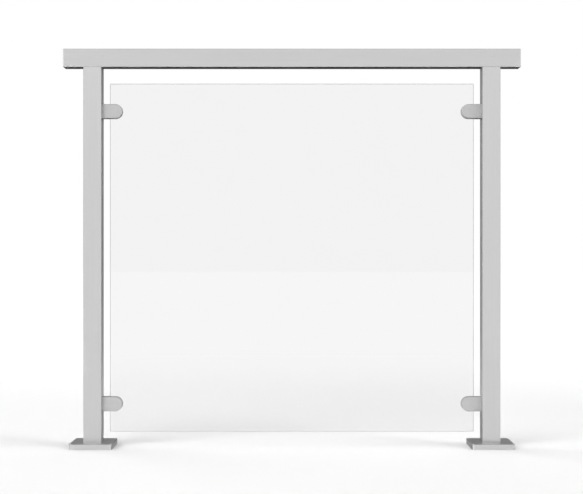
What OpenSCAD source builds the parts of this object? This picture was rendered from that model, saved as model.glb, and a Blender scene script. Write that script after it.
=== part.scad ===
// One bay of a glass railing. A square tube handrail lies across two square tube posts,
// and four D-shaped clamps hold a glass panel between the posts. Sizes are in millimetres.
// The origin is the centre of the left foot plate's underside. +X runs along the bay to
// the right post, +Y runs from the front to the back, and +Z is up.

/* [Bay] */
// Height of the handrail's top above the floor
bay_h = 1100; // [900:10:1400]
// Distance between the axes of the two posts
post_pitch = 1100; // [700:10:1500]

/* [Tubes] */
// Outside width of the square post tube
post_w = 50; // [45:1:60]
// Wall thickness of the post tube
post_wall = 2; // [1.5:0.5:4]
// Outside width of the handrail tube, front to back
rail_w = 50; // [45:1:70]
// Outside height of the handrail tube
rail_h = 50; // [40:1:70]
// Wall thickness of the handrail tube
rail_wall = 2; // [1.5:0.5:4]
// Outside corner radius of the tubes
tube_r = 1.5; // [1.5:0.5:6]
// Length of handrail past each post's outer face
rail_overhang = 56; // [20:1:150]

/* [Handrail end caps] */
// Thickness of the cap's face plate
cap_t = 3; // [2:0.5:5]
// Radius of the face plate's outer edge
cap_edge_r = 0.5; // [0.5:0.25:1]
// Depth of the cap's collar inside the tube
collar_deep = 12; // [6:1:25]
// Wall thickness of the cap's collar
collar_wall = 2; // [1:0.5:4]
// Clearance between the collar and the tube
collar_gap = 0.2; // [0.1:0.1:0.5]

/* [Foot plates] */
// Foot plate's length along the bay
foot_x = 110; // [100:1:140]
// Foot plate's width, front to back
foot_y = 120; // [100:1:160]
// Foot plate's thickness
foot_t = 8; // [8:1:12]
// Radius of the foot plate's corners
foot_r = 5; // [2:1:12]
// Distance between anchor holes along the bay
anchor_x = 75; // [74:1:76]
// Distance between anchor holes, front to back
anchor_y = 90; // [74:1:92]
// Diameter of an anchor hole
anchor_d = 11; // [9:0.5:12]
// Diameter of the countersink at the top of an anchor hole
countersink_d = 21; // [17:1:21]

/* [Foot covers] */
// Thickness of the cover's sheet
cover_t = 1.5; // [1:0.5:2]
// Clearance between the foot plate's edges and the cover
cover_side_gap = 2.5; // [1:0.5:6]
// Headroom between the foot plate's top and the cover
cover_headroom = 5.5; // [2:0.5:12]
// Clearance between the post and the cover's opening
cover_post_gap = 0.5; // [0.3:0.1:0.9]
// Outside radius of the cover's upright corners
cover_r = 8; // [4:0.5:10]
// Outside radius of the cover's top edge
cover_edge_r = 2; // [1:0.5:3]

/* [Glass] */
// Thickness of the glass
glass_t = 10; // [8:1:12]
// Gap between the glass and each post
glass_side_gap = 21; // [18:1:30]
// Gap between the glass and the handrail
glass_top_gap = 44; // [10:1:90]
// Gap between the glass and the floor
glass_bottom_gap = 42; // [30:1:90]
// Width of the ground arris on the glass's edges
glass_arris = 1; // [0.5:0.5:2]
// Radius of the glass's corners
glass_corner_r = 3; // [1:0.5:10]

/* [Clamps] */
// Clamp's length from the post's face to its round tip
clamp_l = 56; // [50:1:75]
// Clamp's height, which is twice the radius of its tip
clamp_h = 40; // [40:1:55]
// Thickness of each of the clamp's two halves over the glass
clamp_t = 7.5; // [7:0.5:10]
// Radius of the clamp's front and back edges
clamp_edge_r = 3; // [1:0.5:5]
// Height of a clamp's axis above or below the glass's nearest edge
clamp_inset = 77; // [30:1:250]
// Clearance between the clamp's neck and the edge of the glass
neck_gap = 2; // [1:0.5:4]
// Thickness of a rubber gasket
gasket_t = 2; // [1:0.5:4]
// Depth of the pocket that a gasket sits in
pocket_deep = 0.5; // [0.25:0.25:0.75]
// Width of the clamp's rim round a gasket's pocket
gasket_rim = 2; // [1:0.5:4]
// Clearance between a gasket and the sides of its pocket
gasket_gap = 0.2; // [0.1:0.1:0.5]

/* [Clamp screws] */
// Distance between a clamp's two screws
screw_pitch = 22; // [20:1:24]
// Diameter of a screw's clearance hole in the rear half
screw_d = 6.4; // [5.4:0.1:6.6]
// Diameter of the recess for a screw's head
screw_head_d = 11; // [9:0.5:11.5]
// Depth of the recess for a screw's head
screw_head_deep = 6.5; // [3:0.5:8]
// Diameter of a tapped hole in the front half
tapped_d = 5; // [4:0.1:5.4]
// Depth of a tapped hole in the front half
tapped_deep = 5.5; // [3:0.5:5.5]
// Diameter of the hole for the screw that fixes the clamp to its post
post_screw_d = 6.6; // [5.4:0.1:6.6]
// Diameter of the recess for that screw's head
post_screw_head_d = 11; // [9:0.5:11]
// Depth of the recess for that screw's head
post_screw_head_deep = 8; // [3:0.5:10]
// Diameter of the hole in the post for that screw's threaded insert
insert_d = 9; // [7:0.5:11]

/* [Hidden] */
$fn = 48;
eps = 0.5;

post_top = bay_h - rail_h;
rail_x0 = -post_w / 2 - rail_overhang;
rail_x1 = post_pitch + post_w / 2 + rail_overhang;

cover_x = foot_x + 2 * (cover_side_gap + cover_t);
cover_y = foot_y + 2 * (cover_side_gap + cover_t);
cover_h = foot_t + cover_headroom + cover_t;
countersink_deep = (countersink_d - anchor_d) / 2;

glass_x0 = post_w / 2 + glass_side_gap;
glass_x1 = post_pitch - post_w / 2 - glass_side_gap;
glass_z0 = glass_bottom_gap;
glass_z1 = post_top - glass_top_gap;

tip_r = clamp_h / 2;
neck_l = glass_side_gap - neck_gap;
grip_y = glass_t / 2 + gasket_t - pocket_deep;
clamp_low_z = glass_z0 + clamp_inset;
clamp_high_z = glass_z1 - clamp_inset;

STEEL = "silver";
CAST = "lightgray";
GLASS = [0.8, 0.9, 0.9, 0.35];
RUBBER = "dimgray";

CLAMP_PARTS = ["clamp_body", "clamp_cover", "clamp_gasket_front", "clamp_gasket_rear"];
PLACES = ["bottom_left", "bottom_right", "top_left", "top_right"];

// ---- shared outlines and forms ----

// A rectangle about the origin with rounded corners.
module rounded_rect(w, d, r) {
    square([w - 2 * r, d], center = true);
    square([w, d - 2 * r], center = true);
    for (x = [-1, 1], y = [-1, 1])
        translate([x * (w / 2 - r), y * (d / 2 - r)])
            circle(r);
}

// The wall of a rectangular tube with rounded corners.
module tube_section(w, d, wall) {
    difference() {
        rounded_rect(w, d, tube_r);
        rounded_rect(w - 2 * wall, d - 2 * wall, max(tube_r - wall, 0.5));
    }
}

// Half of an edge's section: r from the middle out to the side, t thick, with one
// corner rounded by e.
module edge_section(r, t, e) {
    square([r - e, t]);
    square([r, t - e]);
    translate([r - e, t - e])
        circle(e);
}

// A plate about the Z axis with upright corners of radius r and its top edge rounded by e.
module soft_plate(w, d, t, r, e) {
    linear_extrude(t - e)
        rounded_rect(w, d, r);
    linear_extrude(t)
        rounded_rect(w - 2 * e, d - 2 * e, r - e);
    for (y = [-1, 1])
        translate([-(w / 2 - r), y * (d / 2 - e), t - e])
            rotate([0, 90, 0])
                cylinder(h = w - 2 * r, r = e);
    for (x = [-1, 1])
        translate([x * (w / 2 - e), d / 2 - r, t - e])
            rotate([90, 0, 0])
                cylinder(h = d - 2 * r, r = e);
    for (x = [-1, 1], y = [-1, 1])
        translate([x * (w / 2 - r), y * (d / 2 - r), 0])
            rotate_extrude()
                edge_section(r, t, e);
}

// Mirrors a piece about the middle of the bay.
module mirror_bay() {
    translate([post_pitch, 0, 0])
        mirror([1, 0, 0])
            children();
}

// ---- handrail ----

module handrail_tube() {
    color(STEEL)
        translate([rail_x0 + cap_t, 0, bay_h - rail_h / 2])
            rotate([90, 0, 90])
                linear_extrude(rail_x1 - rail_x0 - 2 * cap_t)
                    tube_section(rail_w, rail_h, rail_wall);
}

// An end cap on the handrail's right end: a face plate with a collar inside the tube.
module right_cap() {
    collar_w = rail_w - 2 * (rail_wall + collar_gap);
    collar_h = rail_h - 2 * (rail_wall + collar_gap);
    color(STEEL)
        translate([rail_x1 - cap_t, 0, bay_h - rail_h / 2])
            rotate([90, 0, 90]) {
                soft_plate(rail_w, rail_h, cap_t, tube_r, cap_edge_r);
                translate([0, 0, -collar_deep])
                    linear_extrude(collar_deep)
                        tube_section(collar_w, collar_h, collar_wall);
            }
}

module handrail_cap_right() {
    right_cap();
}

module handrail_cap_left() {
    mirror_bay()
        right_cap();
}

// ---- posts and their feet ----

// The left post. Its inner wall has a hole behind each clamp for a threaded insert.
module left_post() {
    color(STEEL)
        difference() {
            translate([0, 0, foot_t])
                linear_extrude(post_top - foot_t)
                    tube_section(post_w, post_w, post_wall);
            for (z = [clamp_low_z, clamp_high_z])
                translate([post_w / 2 - post_wall - eps, 0, z])
                    rotate([0, 90, 0])
                        cylinder(h = post_wall + 2 * eps, d = insert_d);
        }
}

module post_left() {
    left_post();
}

module post_right() {
    mirror_bay()
        left_post();
}

// A foot plate with a countersunk anchor hole in each corner.
module base_plate(x) {
    color(STEEL)
        translate([x, 0, 0])
            difference() {
                linear_extrude(foot_t)
                    rounded_rect(foot_x, foot_y, foot_r);
                for (i = [-1, 1], j = [-1, 1])
                    translate([i * anchor_x / 2, j * anchor_y / 2, 0]) {
                        translate([0, 0, -eps])
                            cylinder(h = foot_t + 2 * eps, d = anchor_d);
                        translate([0, 0, foot_t - countersink_deep])
                            cylinder(h = countersink_deep, d1 = anchor_d, d2 = countersink_d);
                        translate([0, 0, foot_t])
                            cylinder(h = eps, d = countersink_d);
                    }
            }
}

// A pressed sheet cover, open below, that the post passes through.
module base_cover(x) {
    opening = post_w + 2 * cover_post_gap;
    color(STEEL)
        translate([x, 0, 0])
            difference() {
                soft_plate(cover_x, cover_y, cover_h, cover_r, cover_edge_r);
                translate([0, 0, -eps])
                    linear_extrude(cover_h - cover_t + eps)
                        rounded_rect(cover_x - 2 * cover_t, cover_y - 2 * cover_t, cover_r - cover_t);
                linear_extrude(cover_h + eps)
                    rounded_rect(opening, opening, tube_r + cover_post_gap);
            }
}

// ---- glass ----

// The outline in front view, cut by the two sections whose corners carry the arris.
module glass_panel() {
    w = glass_x1 - glass_x0;
    h = glass_z1 - glass_z0;
    color(GLASS)
        translate([post_pitch / 2, 0, (glass_z0 + glass_z1) / 2])
            intersection() {
                rotate([90, 0, 0])
                    linear_extrude(glass_t, center = true)
                        rounded_rect(w, h, glass_corner_r);
                linear_extrude(h, center = true)
                    arris_section(w, glass_t);
                rotate([0, 90, 0])
                    linear_extrude(w, center = true)
                        arris_section(h, glass_t);
            }
}

// A rectangle about the origin with its corners cut at 45 degrees.
module arris_section(w, d) {
    a = glass_arris;
    x = w / 2;
    y = d / 2;
    polygon([
        [x - a, -y], [x, -y + a], [x, y - a], [x - a, y],
        [-x + a, y], [-x, y - a], [-x, -y + a], [-x + a, -y]
    ]);
}

// ---- clamps ----

// A clamp's own frame: the origin on the post's face, +X to the glass, +Z up.
// Carries a clamp part to its place, on the left post or mirrored onto the right one.
module at_clamp(z, right) {
    if (right)
        mirror_bay()
            at_clamp(z, false) children();
    else
        translate([post_w / 2, 0, z])
            children();
}

// Turns a plate that lies on XY to face the front, or the back if rear is true.
module facing(rear) {
    mirror([0, rear ? 1 : 0, 0])
        rotate([90, 0, 0])
            children();
}

// A plate on XY with a D outline and its outer edge rounded, from x = 0 to the tip.
module d_plate() {
    straight = clamp_l - tip_r;
    rotate([90, 0, 90])
        linear_extrude(straight) {
            edge_section(tip_r, clamp_t, clamp_edge_r);
            mirror([1, 0])
                edge_section(tip_r, clamp_t, clamp_edge_r);
        }
    translate([straight, 0, 0])
        rotate([0, 0, -90])
            rotate_extrude(angle = 180)
                edge_section(tip_r, clamp_t, clamp_edge_r);
}

// The D outline of a gasket, drawn larger by gap for the pocket that it sits in.
module gasket_outline(gap) {
    r = tip_r - gasket_rim - gasket_gap + gap;
    x0 = neck_l + gasket_gap - gap;
    x1 = clamp_l - tip_r;
    translate([x0, -r])
        square([x1 - x0, 2 * r]);
    translate([x1, 0])
        intersection() {
            circle(r);
            translate([0, -r])
                square([r, 2 * r]);
        }
}

// Rear half: the D plate, the neck that bears on the post, the two screw holes from the
// back and the hole for the screw into the post.
module clamp_body() {
    color(CAST)
        difference() {
            union() {
                translate([0, grip_y, 0])
                    facing(true)
                        d_plate();
                translate([0, -grip_y, -tip_r])
                    cube([neck_l, 2 * grip_y, clamp_h]);
            }
            translate([0, grip_y, 0])
                facing(true)
                    translate([0, 0, -eps])
                        linear_extrude(pocket_deep + eps)
                            intersection() {
                                gasket_outline(gasket_gap);
                                translate([neck_l, -clamp_h])
                                    square([clamp_l, 2 * clamp_h]);
                            }
            for (z = [-1, 1])
                translate([neck_l / 2, 0, z * screw_pitch / 2])
                    rotate([-90, 0, 0]) {
                        translate([0, 0, -grip_y - eps])
                            cylinder(h = 2 * grip_y + clamp_t + 2 * eps, d = screw_d);
                        translate([0, 0, grip_y + clamp_t - screw_head_deep])
                            cylinder(h = screw_head_deep + eps, d = screw_head_d);
                    }
            rotate([0, 90, 0]) {
                translate([0, 0, -eps])
                    cylinder(h = neck_l + 2 * eps, d = post_screw_d);
                translate([0, 0, neck_l - post_screw_head_deep])
                    cylinder(h = post_screw_head_deep + eps, d = post_screw_head_d);
            }
        }
}

// Front half: a D plate with a gasket pocket and two tapped holes that don't break through.
module clamp_cover() {
    color(CAST)
        translate([0, -grip_y, 0])
            facing(false)
                difference() {
                    d_plate();
                    translate([0, 0, -eps])
                        linear_extrude(pocket_deep + eps)
                            gasket_outline(gasket_gap);
                    for (y = [-1, 1])
                        translate([neck_l / 2, y * screw_pitch / 2, -eps])
                            cylinder(h = tapped_deep + eps, d = tapped_d);
                }
}

module clamp_gasket(rear) {
    color(RUBBER)
        facing(rear)
            translate([0, 0, glass_t / 2])
                linear_extrude(gasket_t)
                    gasket_outline(0);
}

// ---- nodes ----

handrail_tube();
handrail_cap_left();
handrail_cap_right();
post_left();
post_right();
base_plate(0);  // base_plate_left
base_plate(post_pitch);  // base_plate_right
base_cover(0);  // base_cover_left
base_cover(post_pitch);  // base_cover_right
glass_panel();

for (level = ["bottom", "top"], side = ["left", "right"]) {
    place = str(level, "_", side);
    z = level == "top" ? clamp_high_z : clamp_low_z;
    right = side == "right";
    at_clamp(z, right) clamp_body();
    at_clamp(z, right) clamp_cover();
    at_clamp(z, right) clamp_gasket(false);
    at_clamp(z, right) clamp_gasket(true);
}
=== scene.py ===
"""The looks of one bay of a glass railing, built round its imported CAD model.

Everything is in metres in the model's own frame: +X along the bay to the right post, +Y to the
back, +Z up, with the origin under the left post. The CAD nodes keep their shapes and get their
finishes here. The screws are the pieces that this script adds.
"""

import math

import bmesh
import bpy
from mathutils import Matrix, Vector


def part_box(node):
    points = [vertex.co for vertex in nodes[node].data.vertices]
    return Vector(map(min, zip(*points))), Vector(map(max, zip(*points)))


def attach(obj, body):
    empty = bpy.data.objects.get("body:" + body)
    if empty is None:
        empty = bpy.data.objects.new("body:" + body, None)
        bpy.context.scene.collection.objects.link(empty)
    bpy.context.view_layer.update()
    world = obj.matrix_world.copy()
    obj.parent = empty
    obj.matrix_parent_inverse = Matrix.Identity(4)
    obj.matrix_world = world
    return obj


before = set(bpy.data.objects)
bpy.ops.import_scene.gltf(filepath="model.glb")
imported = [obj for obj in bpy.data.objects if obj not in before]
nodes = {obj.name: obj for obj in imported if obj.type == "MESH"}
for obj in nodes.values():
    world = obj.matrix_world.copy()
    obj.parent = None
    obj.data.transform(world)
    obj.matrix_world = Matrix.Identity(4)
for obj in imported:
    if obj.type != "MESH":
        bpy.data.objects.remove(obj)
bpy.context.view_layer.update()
scene = bpy.context.scene

# ---------------------------------------------------------------- places taken from the frame

left_post, right_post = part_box("post_left"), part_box("post_right")
BAY_CENTRE_X = (left_post[0].x + right_post[1].x) / 2
FRONT_Y = left_post[0].y


# ---------------------------------------------------------------- helpers


def circle(count):
    """That many equal steps of one turn, in radians."""
    return [2 * math.pi * i / count for i in range(count)]


class Tree:
    """A short way to add nodes and links to one material's or world's tree."""

    def __init__(self, owner):
        owner.use_nodes = True
        self.tree = owner.node_tree
        self.tree.nodes.clear()

    def add(self, kind, settings=None, **inputs):
        """Adds a node. Names in inputs use _ for a space, and a socket is linked."""
        node = self.tree.nodes.new(kind)
        for name, value in (settings or {}).items():
            setattr(node, name, value)
        for name, value in inputs.items():
            self.put(node.inputs[name.replace("_", " ")], value)
        return node

    def put(self, socket, value):
        """Links value to the socket if it is a socket, or else stores it there."""
        if isinstance(value, bpy.types.NodeSocket):
            self.tree.links.new(value, socket)
        else:
            socket.default_value = value

    def math(self, operation, a, b=0.0):
        """The result of an operation on one or two numbers."""
        node = self.add("ShaderNodeMath", {"operation": operation})
        self.put(node.inputs[0], a)
        self.put(node.inputs[1], b)
        return node.outputs[0]

    def vector(self, operation, a, b=(0.0, 0.0, 0.0)):
        """The vector that an operation on one or two vectors gives."""
        node = self.add("ShaderNodeVectorMath", {"operation": operation})
        self.put(node.inputs[0], a)
        self.put(node.inputs[1], b)
        return node.outputs["Vector"]

    def length(self, vector):
        """The length of a vector."""
        node = self.add("ShaderNodeVectorMath", {"operation": "LENGTH"})
        self.put(node.inputs[0], vector)
        return node.outputs["Value"]

    def remap(self, value, low, high, to_low, to_high, smooth=False):
        """Maps low..high to to_low..to_high, clamped."""
        kind = "SMOOTHSTEP" if smooth else "LINEAR"
        node = self.add("ShaderNodeMapRange", {"interpolation_type": kind, "clamp": True})
        for socket, number in zip(node.inputs, (value, low, high, to_low, to_high)):
            self.put(socket, number)
        return node.outputs[0]

    def noise(self, vector, scale, detail):
        """A noise value about 0.5. scale is a number, or one for each axis, per metre."""
        if not isinstance(scale, (int, float)):
            vector = self.vector("MULTIPLY", vector, scale)
            scale = 1.0
        return self.add(
            "ShaderNodeTexNoise", Vector=vector, Scale=scale, Detail=detail, Roughness=0.5
        ).outputs["Fac"]

    def vary(self, noise, low, high, spread=0.2):
        """Turns a noise value into low..high, which it reaches that far from 0.5."""
        return self.remap(noise, 0.5 - spread, 0.5 + spread, low, high)

    def bump(self, height, strength, depth):
        """A normal for a surface with that height. depth is in metres."""
        return self.add(
            "ShaderNodeBump", Strength=strength, Distance=depth, Height=height
        ).outputs[0]

    def grey(self, value):
        """A grey colour from a value."""
        return self.add("ShaderNodeCombineColor", Red=value, Green=value, Blue=value).outputs[0]

    def mix(self, share, first, second):
        """Two shaders mixed: share is 0 for the first alone and 1 for the second alone."""
        node = self.add("ShaderNodeMixShader")
        self.put(node.inputs[0], share)
        self.put(node.inputs[1], first.outputs[0])
        self.put(node.inputs[2], second.outputs[0])
        return node

    def surface(self, shader):
        """Makes the shader the material's surface."""
        self.add("ShaderNodeOutputMaterial", Surface=shader.outputs[0])


def new_material(name):
    """A new material and its empty tree."""
    material = bpy.data.materials.new(name)
    return material, Tree(material)


def studio_rays(tree):
    """1 for the rays that see the pale background: camera, glossy and transmission rays.

    A ray that has left a matt surface only carries light, so it counts as 0.
    """
    path = tree.add("ShaderNodeLightPath").outputs
    seen = tree.math("MAXIMUM", path["Is Camera Ray"], path["Is Glossy Ray"])
    seen = tree.math("MAXIMUM", seen, path["Is Transmission Ray"])
    return tree.math("MULTIPLY", seen, tree.math("LESS_THAN", path["Diffuse Depth"], 0.5))


# ---------------------------------------------------------------- materials

# How square a surface is to an axis: 1 on a flat face, and less where it turns round an edge.
ON_EDGE = 0.9
ON_FACE = 0.995
# How much smoother the edges of the metal are than its faces.
EDGE_POLISH = 0.06
# Painted shade: how much darker the metal is made where it faces straight down, and the way it
# faces in Z where that is reached and where it begins.
UNDERSIDE_PAINTED_SHADE = 0.36
UNDERSIDE_FULL = -0.99
UNDERSIDE_BEGINS = -0.8


def edge_wear_and_highlight(tree):
    """1 where the surface turns round an edge, 0 on the flat faces."""
    normal = tree.add("ShaderNodeNewGeometry").outputs["Normal"]
    parts = tree.add("ShaderNodeSeparateXYZ", Vector=tree.vector("ABSOLUTE", normal)).outputs
    most = tree.math("MAXIMUM", parts["X"], tree.math("MAXIMUM", parts["Y"], parts["Z"]))
    return tree.remap(most, ON_EDGE, ON_FACE, 1.0, 0.0)


def paint_underside_shade(tree, tone, normal):
    """The tone with painted shade: lowered where the surface faces down."""
    facing = tree.add("ShaderNodeSeparateXYZ", Vector=normal).outputs["Z"]
    underside_shade = tree.remap(facing, UNDERSIDE_FULL, UNDERSIDE_BEGINS, UNDERSIDE_PAINTED_SHADE, 0.0)
    return tree.math("SUBTRACT", tone, underside_shade)


STEEL_COLOUR = 0.61
# Painted light: the covers get a lighter copy of the steel, to make up for the dimmer floor that
# their fronts reflect.
COVER_PAINTED_LIGHTER_COLOUR = 0.635
STEEL_ROUGHNESS = 0.32
STEEL_ANISOTROPY = 0.8
# How much lighter the edges are: partly wear, partly a painted highlight.
STEEL_EDGE_WEAR_AND_HIGHLIGHT = 0.04
# How far the single strokes and the broader bands of them change the colour, up and down.
STROKE_TONE = 0.012
BAND_TONE = 0.008
# How far the strokes and the soft clouds change the roughness.
STROKE_ROUGHNESS = 0.04
CLOUD_ROUGHNESS = 0.02
STROKE_SPREAD = 0.25

# The grain runs a little off each axis, so that no flat face is square to it.
GRAINS = {"X": (1.0, 0.05, 0.1), "Y": (0.05, 1.0, 0.1), "Z": (0.05, 0.1, 1.0)}


def satin_steel(name, grain_axis, colour=STEEL_COLOUR):
    """Steel with fine strokes along one axis; its edges smoother and lighter (wear and painted
    highlight).
    """
    material, t = new_material(name)
    place = t.add("ShaderNodeTexCoord").outputs["Object"]
    normal = t.add("ShaderNodeNewGeometry").outputs["Normal"]
    along = GRAINS[grain_axis]

    def strokes(across_per_m, along_per_m, detail):
        scale = tuple(along_per_m if part == 1.0 else across_per_m for part in along)
        return t.noise(place, scale, detail)

    fine = strokes(across_per_m=2600.0, along_per_m=22.0, detail=3.0)
    broad = strokes(across_per_m=160.0, along_per_m=3.0, detail=2.0)
    cloud = t.noise(place, scale=6.0, detail=3.0)
    edge = edge_wear_and_highlight(t)
    tone = t.math("ADD", t.vary(fine, -STROKE_TONE, STROKE_TONE, STROKE_SPREAD), colour)
    tone = t.math("ADD", t.vary(broad, -BAND_TONE, BAND_TONE), tone)
    # Edges lighter: partly wear, partly a painted highlight.
    tone = t.math("ADD", t.math("MULTIPLY", edge, STEEL_EDGE_WEAR_AND_HIGHLIGHT), tone)
    # Painted shade on the faces that point down.
    tone = paint_underside_shade(t, tone, normal)
    rough = t.vary(fine, -STROKE_ROUGHNESS, STROKE_ROUGHNESS, STROKE_SPREAD)
    rough = t.math("ADD", rough, STEEL_ROUGHNESS)
    rough = t.math("ADD", t.vary(cloud, -CLOUD_ROUGHNESS, CLOUD_ROUGHNESS), rough)
    rough = t.math("SUBTRACT", rough, t.math("MULTIPLY", edge, EDGE_POLISH))
    shader = t.add(
        "ShaderNodeBsdfPrincipled",
        Base_Color=t.grey(tone),
        Metallic=1.0,
        Roughness=rough,
        Anisotropic=STEEL_ANISOTROPY,
        Tangent=t.vector("CROSS_PRODUCT", normal, along),
        Normal=t.bump(fine, strength=0.25, depth=0.00002),
    )
    t.surface(shader)
    return material


CAST_COLOUR = 0.48
CAST_TONE = 0.01
# How much lighter the edges are: partly wear, partly a painted highlight.
CAST_EDGE_WEAR_AND_HIGHLIGHT = 0.02
CAST_ROUGHNESS = 0.6
CAST_ROUGHNESS_CHANGE = (-0.04, 0.05)
# Half metal and half matt, so that the clamps take the soft shadow of their posts.
CAST_METALLIC = 0.5


def cast_steel(name):
    """Fine bead-blasted casting of the clamps, with a faint even texture."""
    material, t = new_material(name)
    place = t.add("ShaderNodeTexCoord").outputs["Object"]
    normal = t.add("ShaderNodeNewGeometry").outputs["Normal"]
    fine = t.noise(place, scale=1500.0, detail=3.0)
    cloud = t.noise(place, scale=60.0, detail=2.0)
    edge = edge_wear_and_highlight(t)
    tone = t.math("ADD", t.vary(cloud, -CAST_TONE, CAST_TONE), CAST_COLOUR)
    # Edges lighter: partly wear, partly a painted highlight.
    tone = t.math("ADD", t.math("MULTIPLY", edge, CAST_EDGE_WEAR_AND_HIGHLIGHT), tone)
    # Painted shade on the faces that point down.
    tone = paint_underside_shade(t, tone, normal)
    rough = t.math("ADD", t.vary(fine, *CAST_ROUGHNESS_CHANGE), CAST_ROUGHNESS)
    rough = t.math("SUBTRACT", rough, t.math("MULTIPLY", edge, EDGE_POLISH))
    shader = t.add(
        "ShaderNodeBsdfPrincipled",
        Base_Color=t.grey(tone),
        Metallic=CAST_METALLIC,
        Roughness=rough,
        Normal=t.bump(fine, strength=0.3, depth=0.00003),
    )
    t.surface(shader)
    return material


SCREW_COLOUR = 0.55
SCREW_TONE = 0.03
SCREW_ROUGHNESS = (0.25, 0.36)


def screw_steel(name):
    """Smooth bright steel of the screws, with a faint turned texture."""
    material, t = new_material(name)
    place = t.add("ShaderNodeTexCoord").outputs["Object"]
    fine = t.noise(place, scale=2200.0, detail=3.0)
    cloud = t.noise(place, scale=300.0, detail=2.0)
    tone = t.math("ADD", t.vary(cloud, -SCREW_TONE, SCREW_TONE), SCREW_COLOUR)
    shader = t.add(
        "ShaderNodeBsdfPrincipled",
        Base_Color=t.grey(tone),
        Metallic=1.0,
        Roughness=t.vary(fine, *SCREW_ROUGHNESS),
        Normal=t.bump(fine, strength=0.2, depth=0.00002),
    )
    t.surface(shader)
    return material


GLASS_TINT = 0.89
GLASS_SMUDGE = 0.006
GLASS_IOR = 1.5
GLASS_EDGE_TINT = 0.5
GLASS_EDGE_ROUGHNESS = 0.3
GLASS_ON_FACE = 0.99
GLASS_TO_LAMPS = 0.98


def clear_glass(name):
    """Clear sheet glass with ground edges, which lamps shine through."""
    material, t = new_material(name)
    place = t.add("ShaderNodeTexCoord").outputs["Object"]
    normal = t.add("ShaderNodeNewGeometry").outputs["Normal"]
    facing = t.math("ABSOLUTE", t.add("ShaderNodeSeparateXYZ", Vector=normal).outputs["Y"])
    edge = t.remap(facing, ON_EDGE, GLASS_ON_FACE, 1.0, 0.0)
    smudge = t.remap(t.noise(place, scale=7.0, detail=4.0), 0.5, 0.8, 0.0, GLASS_SMUDGE)
    tint = t.math("SUBTRACT", t.remap(edge, 0.0, 1.0, GLASS_TINT, GLASS_EDGE_TINT), smudge)
    grinding = t.math("MULTIPLY", t.noise(place, scale=900.0, detail=3.0), edge)
    glass = t.add(
        "ShaderNodeBsdfPrincipled",
        Base_Color=t.grey(tint),
        Roughness=t.math("MULTIPLY", edge, GLASS_EDGE_ROUGHNESS),
        IOR=GLASS_IOR,
        Transmission_Weight=1.0,
        Normal=t.bump(grinding, strength=0.3, depth=0.0001),
    )
    lamp_tint = (GLASS_TO_LAMPS, GLASS_TO_LAMPS, GLASS_TO_LAMPS, 1.0)
    clear = t.add("ShaderNodeBsdfTransparent", Color=lamp_tint)
    lamp_ray = t.add("ShaderNodeLightPath").outputs["Is Shadow Ray"]
    t.surface(t.mix(lamp_ray, glass, clear))
    return material


RUBBER_TONE = (0.02, 0.04)
RUBBER_ROUGHNESS = (0.6, 0.8)


def rubber(name):
    """Matt black rubber with a fine even texture."""
    material, t = new_material(name)
    place = t.add("ShaderNodeTexCoord").outputs["Object"]
    fine = t.noise(place, scale=1800.0, detail=3.0)
    shader = t.add(
        "ShaderNodeBsdfPrincipled",
        Base_Color=t.grey(t.vary(fine, *RUBBER_TONE)),
        Roughness=t.vary(fine, *RUBBER_ROUGHNESS),
        Normal=t.bump(fine, strength=0.4, depth=0.00005),
    )
    t.surface(shader)
    return material


STEEL_X = satin_steel("satin_steel_along_x", "X")
STEEL_Y = satin_steel("satin_steel_along_y", "Y")
# A lighter copy of the same steel for the covers: painted light.
STEEL_COVER_PAINTED_LIGHTER = satin_steel("satin_steel_cover_painted_lighter", "X", COVER_PAINTED_LIGHTER_COLOUR)
STEEL_Z = satin_steel("satin_steel_along_z", "Z")
CAST = cast_steel("cast_satin_steel")
GLASS = clear_glass("clear_glass")
RUBBER = rubber("black_rubber")
SCREW = screw_steel("screw_steel")

# The material of each CAD node, by the start of the node's name.
FINISHES = {
    "handrail_tube": STEEL_X,
    "handrail_cap": STEEL_Y,
    "post": STEEL_Z,
    "base_plate": STEEL_X,
    "base_cover": STEEL_COVER_PAINTED_LIGHTER,
    "glass_panel": GLASS,
    "clamp_body": CAST,
    "clamp_cover": CAST,
    "clamp_gasket": RUBBER,
}
NODE_SHARP_DEG = 30
# Nearly all of a corner's normal comes from its largest face, which keeps flat faces flat.
LARGE_FACE_WEIGHT = 100


def finish_nodes():
    """Gives each CAD node its material and smooth shading across its round edges."""
    for name, node in nodes.items():
        material = next(m for start, m in FINISHES.items() if name.startswith(start))
        node.data.materials.clear()
        node.data.materials.append(material)
        node.data.shade_smooth()
        node.data.set_sharp_from_angle(angle=math.radians(NODE_SHARP_DEG))
        flatten = node.modifiers.new("flat_face_normals", "WEIGHTED_NORMAL")
        flatten.keep_sharp = True
        flatten.weight = LARGE_FACE_WEIGHT


# ---------------------------------------------------------------- screws

SCREW_PITCH = 0.022
HEAD_R = 0.005
HEAD_H = 0.006
HEAD_SIDES = 48
HEAD_FOOT_BEVEL = 0.0003
# The round edge of a head's top, and how far inside the corner its middle lies.
HEAD_TOP_ROUND = 0.0006
HEAD_TOP_MIDDLE = 0.0002
# How far the tops of the heads lie below the clamp's back.
HEAD_SUNK = 0.0005
SOCKET_R = 0.0029
SOCKET_DEEP = 0.0032
SOCKET_TIP = 0.0008
SOCKET_BEVEL = 0.0003
# The ledge between the round bevel and the corners of the hexagon.
SOCKET_LEDGE = 0.0001
# Between a gasket and the end of the clamp's neck.
GASKET_GAP = 0.0002
# How deep in the neck the screw into the post has its seat.
POST_SCREW_DEEP = 0.008
SCREW_SHARP_DEG = 35


def add_ring(mesh, radii, z):
    """A ring of points round Z, with a radius for each step of the turn."""
    steps = zip(radii, circle(HEAD_SIDES))
    return [mesh.verts.new((r * math.cos(a), r * math.sin(a), z)) for r, a in steps]


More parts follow.
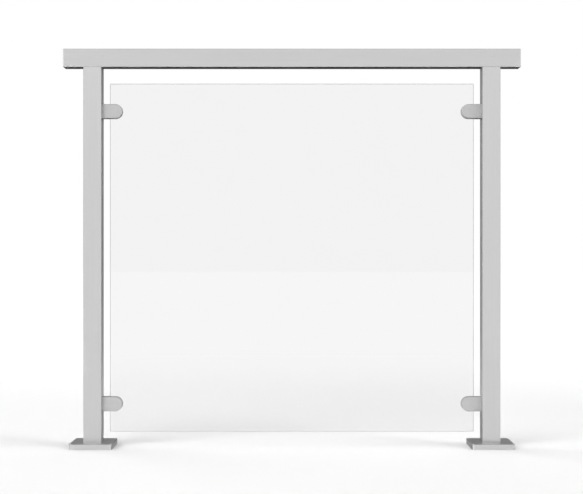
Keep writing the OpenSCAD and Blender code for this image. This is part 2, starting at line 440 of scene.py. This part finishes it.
def bridge(mesh, low, high):
    """A band of faces between two rings."""
    for i in range(len(low)):
        j = (i + 1) % len(low)
        mesh.faces.new((low[i], low[j], high[j], high[i]))


def hexagon_radii():
    """How far the socket's wall is from its middle, for each step of the turn."""
    flat = SOCKET_R * math.cos(math.pi / 6)
    sectors = [(a + math.pi / 6) % (math.pi / 3) - math.pi / 6 for a in circle(HEAD_SIDES)]
    return [flat / math.cos(sector) for sector in sectors]


def socket_screw_head(mesh):
    """A cap screw's head on the XY plane, its hexagon socket open towards +Z."""
    profile = [
        (HEAD_R - HEAD_FOOT_BEVEL, 0.0),
        (HEAD_R, HEAD_FOOT_BEVEL),
        (HEAD_R, HEAD_H - HEAD_TOP_ROUND),
        (HEAD_R - HEAD_TOP_MIDDLE, HEAD_H - HEAD_TOP_MIDDLE),
        (HEAD_R - HEAD_TOP_ROUND, HEAD_H),
        (SOCKET_R + SOCKET_LEDGE + SOCKET_BEVEL, HEAD_H),
        (SOCKET_R + SOCKET_LEDGE, HEAD_H - SOCKET_BEVEL),
    ]
    rings = [add_ring(mesh, [r] * HEAD_SIDES, z) for r, z in profile]
    for low, high in zip(rings, rings[1:]):
        bridge(mesh, low, high)
    mesh.faces.new(list(reversed(rings[0])))
    mouth = add_ring(mesh, hexagon_radii(), HEAD_H - SOCKET_BEVEL)
    seat = add_ring(mesh, hexagon_radii(), HEAD_H - SOCKET_DEEP)
    bridge(mesh, rings[-1], mouth)
    bridge(mesh, mouth, seat)
    tip = mesh.verts.new((0.0, 0.0, HEAD_H - SOCKET_DEEP - SOCKET_TIP))
    for i in range(HEAD_SIDES):
        mesh.faces.new((seat[i], seat[(i + 1) % HEAD_SIDES], tip))


def add_screws(place):
    """The screws of one clamp: two from the back through both halves, and one into the post."""
    low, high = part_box("clamp_body_" + place)
    pad_low, pad_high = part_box("clamp_gasket_rear_" + place)
    on_left = low.x < BAY_CENTRE_X
    inward = 1.0 if on_left else -1.0
    post_face = low.x if on_left else high.x
    neck_end = pad_low.x - GASKET_GAP if on_left else pad_high.x + GASKET_GAP
    middle_z = (low.z + high.z) / 2
    to_back = Matrix.Rotation(math.radians(-90), 4, "X")
    to_glass = Matrix.Rotation(math.radians(90 * inward), 4, "Y")
    x = (post_face + neck_end) / 2
    seat_y = high.y - HEAD_H - HEAD_SUNK
    spots = [
        Matrix.Translation((x, seat_y, middle_z + side * SCREW_PITCH / 2)) @ to_back
        for side in (-1, 1)
    ]
    seat_x = neck_end - inward * POST_SCREW_DEEP
    spots.append(Matrix.Translation((seat_x, 0.0, middle_z)) @ to_glass)
    mesh = bmesh.new()
    for spot in spots:
        first = len(mesh.verts)
        socket_screw_head(mesh)
        mesh.verts.ensure_lookup_table()
        bmesh.ops.transform(mesh, matrix=spot, verts=mesh.verts[first:])
    bmesh.ops.recalc_face_normals(mesh, faces=mesh.faces)
    data = bpy.data.meshes.new("clamp_screws_" + place)
    mesh.to_mesh(data)
    mesh.free()
    data.shade_smooth()
    data.set_sharp_from_angle(angle=math.radians(SCREW_SHARP_DEG))
    data.materials.append(SCREW)
    screws = bpy.data.objects.new("clamp_screws_" + place, data)
    scene.collection.objects.link(screws)
    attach(screws, "root")


# ---------------------------------------------------------------- stage

WHITE = (1.0, 1.0, 1.0, 1.0)

CAMERA_LENS_MM = 85.0
CAMERA_SENSOR_MM = 36.0
CAMERA_DISTANCE = 3.793
CAMERA_HEIGHT = 0.5535
CAMERA_SIDESTEP = -0.001


def add_camera():
    """A level camera in front of the bay's middle."""
    data = bpy.data.cameras.new("camera")
    data.lens = CAMERA_LENS_MM
    data.sensor_width = CAMERA_SENSOR_MM
    camera = bpy.data.objects.new("camera", data)
    scene.collection.objects.link(camera)
    camera.location = (BAY_CENTRE_X + CAMERA_SIDESTEP, FRONT_Y - CAMERA_DISTANCE, CAMERA_HEIGHT)
    camera.rotation_euler = (math.radians(90), 0.0, 0.0)
    scene.camera = camera


WORLD_FILL = 0.19


def add_world():
    """White to the rays that see the background, and a soft grey fill to the rest."""
    world = bpy.data.worlds.new("studio")
    scene.world = world
    t = Tree(world)
    strength = t.remap(studio_rays(t), 0.0, 1.0, WORLD_FILL, 1.0)
    shade = t.add("ShaderNodeBackground", Color=WHITE, Strength=strength)
    t.add("ShaderNodeOutputWorld", Surface=shade.outputs[0])


def add_card(name, corners, material):
    """A flat sheet of the stage with those corners."""
    mesh = bpy.data.meshes.new(name)
    mesh.from_pydata(corners, [], [tuple(range(len(corners)))])
    card = bpy.data.objects.new(name, mesh)
    scene.collection.objects.link(card)
    card.data.materials.append(material)
    return card


FLOOR_RADIUS = 26.9
FLOOR_SIDES = 96
FLOOR_COLOUR = 0.9
# The far part's brightness to the rays that see the background, and to the rest.
FLOOR_FAR = 1.03
FLOOR_FAR_FILL = 0.5
# Where the near part begins to melt into the far part, and where it is gone.
FLOOR_MELT_FROM = 1.1
FLOOR_MELT_TO = 3.3


def add_floor():
    """A pale floor that keeps the shadow and melts into the background far away."""
    material, t = new_material("pale_floor")
    place = t.add("ShaderNodeNewGeometry").outputs["Position"]
    reach = t.length(t.vector("SUBTRACT", place, (BAY_CENTRE_X, 0.0, 0.0)))
    far = t.remap(reach, FLOOR_MELT_FROM, FLOOR_MELT_TO, 0.0, 1.0, smooth=True)
    grey = (FLOOR_COLOUR, FLOOR_COLOUR, FLOOR_COLOUR, 1.0)
    near = t.add("ShaderNodeBsdfDiffuse", Color=grey)
    strength = t.remap(studio_rays(t), 0.0, 1.0, FLOOR_FAR_FILL, FLOOR_FAR)
    white = t.add("ShaderNodeEmission", Color=WHITE, Strength=strength)
    t.surface(t.mix(far, near, white))
    rim = [
        (BAY_CENTRE_X + FLOOR_RADIUS * math.cos(a), FLOOR_RADIUS * math.sin(a), 0.0)
        for a in circle(FLOOR_SIDES)
    ]
    add_card("floor", rim, material)


def upright_sheet(x, y0, y1, top):
    """The corners of a sheet that stands on the floor at x."""
    return [(x, y0, 0.0), (x, y1, 0.0), (x, y1, top), (x, y0, top)]


def level_sheet(x0, x1, y0, y1, z):
    """The corners of a level sheet at z."""
    return [(x0, y0, z), (x1, y0, z), (x1, y1, z), (x0, y1, z)]


def flag_cloth(name, brightness, fade_from=0.0, fade_to=0.0):
    """A dim glow that satin metal reflects, and that clear glass doesn't.

    It can fade to white along Y, between the places fade_from and fade_to.
    """
    material, t = new_material(name)
    strength = brightness
    if fade_from != fade_to:
        place = t.add("ShaderNodeNewGeometry").outputs["Position"]
        along = t.add("ShaderNodeSeparateXYZ", Vector=place).outputs["Y"]
        strength = t.remap(along, fade_from, fade_to, brightness, 1.0, smooth=True)
    shade = t.add("ShaderNodeEmission", Color=WHITE, Strength=strength)
    clear = t.add("ShaderNodeBsdfTransparent", Color=WHITE)
    mirror_ray = t.add("ShaderNodeLightPath").outputs["Is Singular Ray"]
    t.surface(t.mix(mirror_ray, shade, clear))
    return material


def add_board(name, corners, cloth):
    """A board that only reflections in satin metal show."""
    board = add_card(name, corners, cloth)
    board.visible_camera = False
    board.visible_diffuse = False
    board.visible_transmission = False
    board.visible_shadow = False


# How bright the board is on each side of the eye.
FLAG_UP = 0.0
FLAG_DOWN = 0.25
FLAG_LEFT = 0.19
FLAG_RIGHT = 0.3
FLAG_NEAR_Y = 0.45
FLAG_FAR_Y = 55.0
FLAG_TOP_Z = 8.0
# Half the width of a level board for each metre from the camera.
FLAG_WIDENS = 0.2
# Half the gap between two boards that lie back to back.
FLAG_GAP = 0.002


def add_flags():
    """Dim boards behind the bay, edge-on to the camera, in two pairs back to back.

    One pair lies level at the height of the eye and one stands upright behind the middle. They
    leave the background white, and shade the faces of the metal that the eye sees at a shallow
    angle.
    """
    x = BAY_CENTRE_X + CAMERA_SIDESTEP
    near, far = (FLAG_WIDENS * (y + CAMERA_DISTANCE) for y in (FLAG_NEAR_Y, FLAG_FAR_Y))

    def level(z):
        return [
            (x - near, FLAG_NEAR_Y, z),
            (x + near, FLAG_NEAR_Y, z),
            (x + far, FLAG_FAR_Y, z),
            (x - far, FLAG_FAR_Y, z),
        ]

    def upright(at_x):
        return upright_sheet(at_x, FLAG_NEAR_Y, FLAG_FAR_Y, FLAG_TOP_Z)

    add_board("flag_up", level(CAMERA_HEIGHT + FLAG_GAP), flag_cloth("flag_up", FLAG_UP))
    add_board("flag_down", level(CAMERA_HEIGHT - FLAG_GAP), flag_cloth("flag_down", FLAG_DOWN))
    add_board("flag_left", upright(x - FLAG_GAP), flag_cloth("flag_left", FLAG_LEFT))
    add_board("flag_right", upright(x + FLAG_GAP), flag_cloth("flag_right", FLAG_RIGHT))


TENT = 0.4
TENT_SIDE = 7.0
TENT_FRONT_Y = -4.5
TENT_BACK_Y = 8.0
TENT_TOP_Z = 6.0
# The tent is white at its front, and has its own tone from here on.
TENT_FADE_Y = -3.0
FLOOR_CARD = 0.28
FLOOR_CARD_Z = 0.0006
FLOOR_CARD_GAP = 0.002
FLOOR_CARD_BACK_Y = 1.3
# The card has its own tone up to here, and is white at its back.
FLOOR_CARD_FADE_Y = 0.7


def add_tent():
    """Grey sheets at the sides and overhead, open to the front, and a dim one on the floor.

    The sheets give the rounded edges of the metal their darker side. The one on the floor lies
    between the feet.
    """
    left_x, right_x = BAY_CENTRE_X - TENT_SIDE, BAY_CENTRE_X + TENT_SIDE
    front, back = TENT_FRONT_Y, TENT_BACK_Y
    for name, x in (("tent_left", left_x), ("tent_right", right_x)):
        corners = upright_sheet(x, front, back, TENT_TOP_Z)
        add_board(name, corners, flag_cloth(name, TENT, TENT_FADE_Y, front))
    corners = level_sheet(left_x, right_x, front, back, TENT_TOP_Z)
    add_board("tent_top", corners, flag_cloth("tent_top", TENT, TENT_FADE_Y, front))
    left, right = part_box("base_cover_left"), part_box("base_cover_right")
    x0, x1 = left[1].x + FLOOR_CARD_GAP, right[0].x - FLOOR_CARD_GAP
    corners = level_sheet(x0, x1, left[0].y, FLOOR_CARD_BACK_Y, FLOOR_CARD_Z)
    cloth = flag_cloth("floor_card", FLOOR_CARD, FLOOR_CARD_FADE_Y, FLOOR_CARD_BACK_Y)
    add_board("floor_card", corners, cloth)


# How much of the sky the lamps fill: those for matt surfaces, and those for satin metal.
LAMP_SPREAD_DEG = 46.0
GLINT_SPREAD_DEG = 30.0
# Where the lamps' objects stand. Only their direction matters to the light.
LAMP_AIM_Z = 0.5
LAMP_DISTANCE = 5.0


def add_sun(name, from_side, height_deg, strength, for_matt):
    """A sun disc that lights either matt surfaces or satin metal, and doesn't show in glass.

    from_side is where it stands in X and Y. A disc for matt surfaces is found only by rays aimed
    at it, because scattered rays can't see it through the glass and its light would be lost.
    """
    data = bpy.data.lights.new(name, "SUN")
    data.energy = strength
    data.angle = math.radians(LAMP_SPREAD_DEG if for_matt else GLINT_SPREAD_DEG)
    data.cycles.use_multiple_importance_sampling = not for_matt
    lamp = bpy.data.objects.new(name, data)
    scene.collection.objects.link(lamp)
    side = Vector((from_side[0], from_side[1], 0.0)).normalized()
    rise = math.radians(height_deg)
    towards = side * math.cos(rise) + Vector((0.0, 0.0, math.sin(rise)))
    lamp.location = Vector((BAY_CENTRE_X, 0.0, LAMP_AIM_Z)) + towards * LAMP_DISTANCE
    lamp.rotation_euler = towards.to_track_quat("Z", "Y").to_euler()
    lamp.visible_diffuse = for_matt
    lamp.visible_glossy = not for_matt
    lamp.visible_transmission = False


def add_lamp(name, from_side, height_deg, strength, glint):
    """A broad soft lamp far away, in the direction from_side and that high above the floor.

    strength is what it gives to matt surfaces, and glint is what it gives to satin metal.
    """
    add_sun(name, from_side, height_deg, strength, for_matt=True)
    add_sun(name + "_glint", from_side, height_deg, glint, for_matt=False)


def add_lamps():
    """Two lamps in front and one behind, and a weak one behind for matt surfaces alone."""
    add_lamp("lamp_front_left", (-0.62, -0.79), height_deg=26.0, strength=2.5, glint=0.5)
    add_lamp("lamp_front_right", (0.94, -0.34), height_deg=20.0, strength=2.6, glint=0.5)
    add_lamp("lamp_rear_left", (-0.77, 0.64), height_deg=20.0, strength=1.73, glint=0.3)
    add_sun("lamp_rear", (0.15, 1.0), height_deg=25.0, strength=0.62, for_matt=True)


# ---------------------------------------------------------------- building

finish_nodes()
for clamp_place in ("bottom_left", "bottom_right", "top_left", "top_right"):
    add_screws(clamp_place)
add_camera()
add_world()
add_floor()
add_flags()
add_tent()
add_lamps()

scene.view_settings.view_transform = "Standard"

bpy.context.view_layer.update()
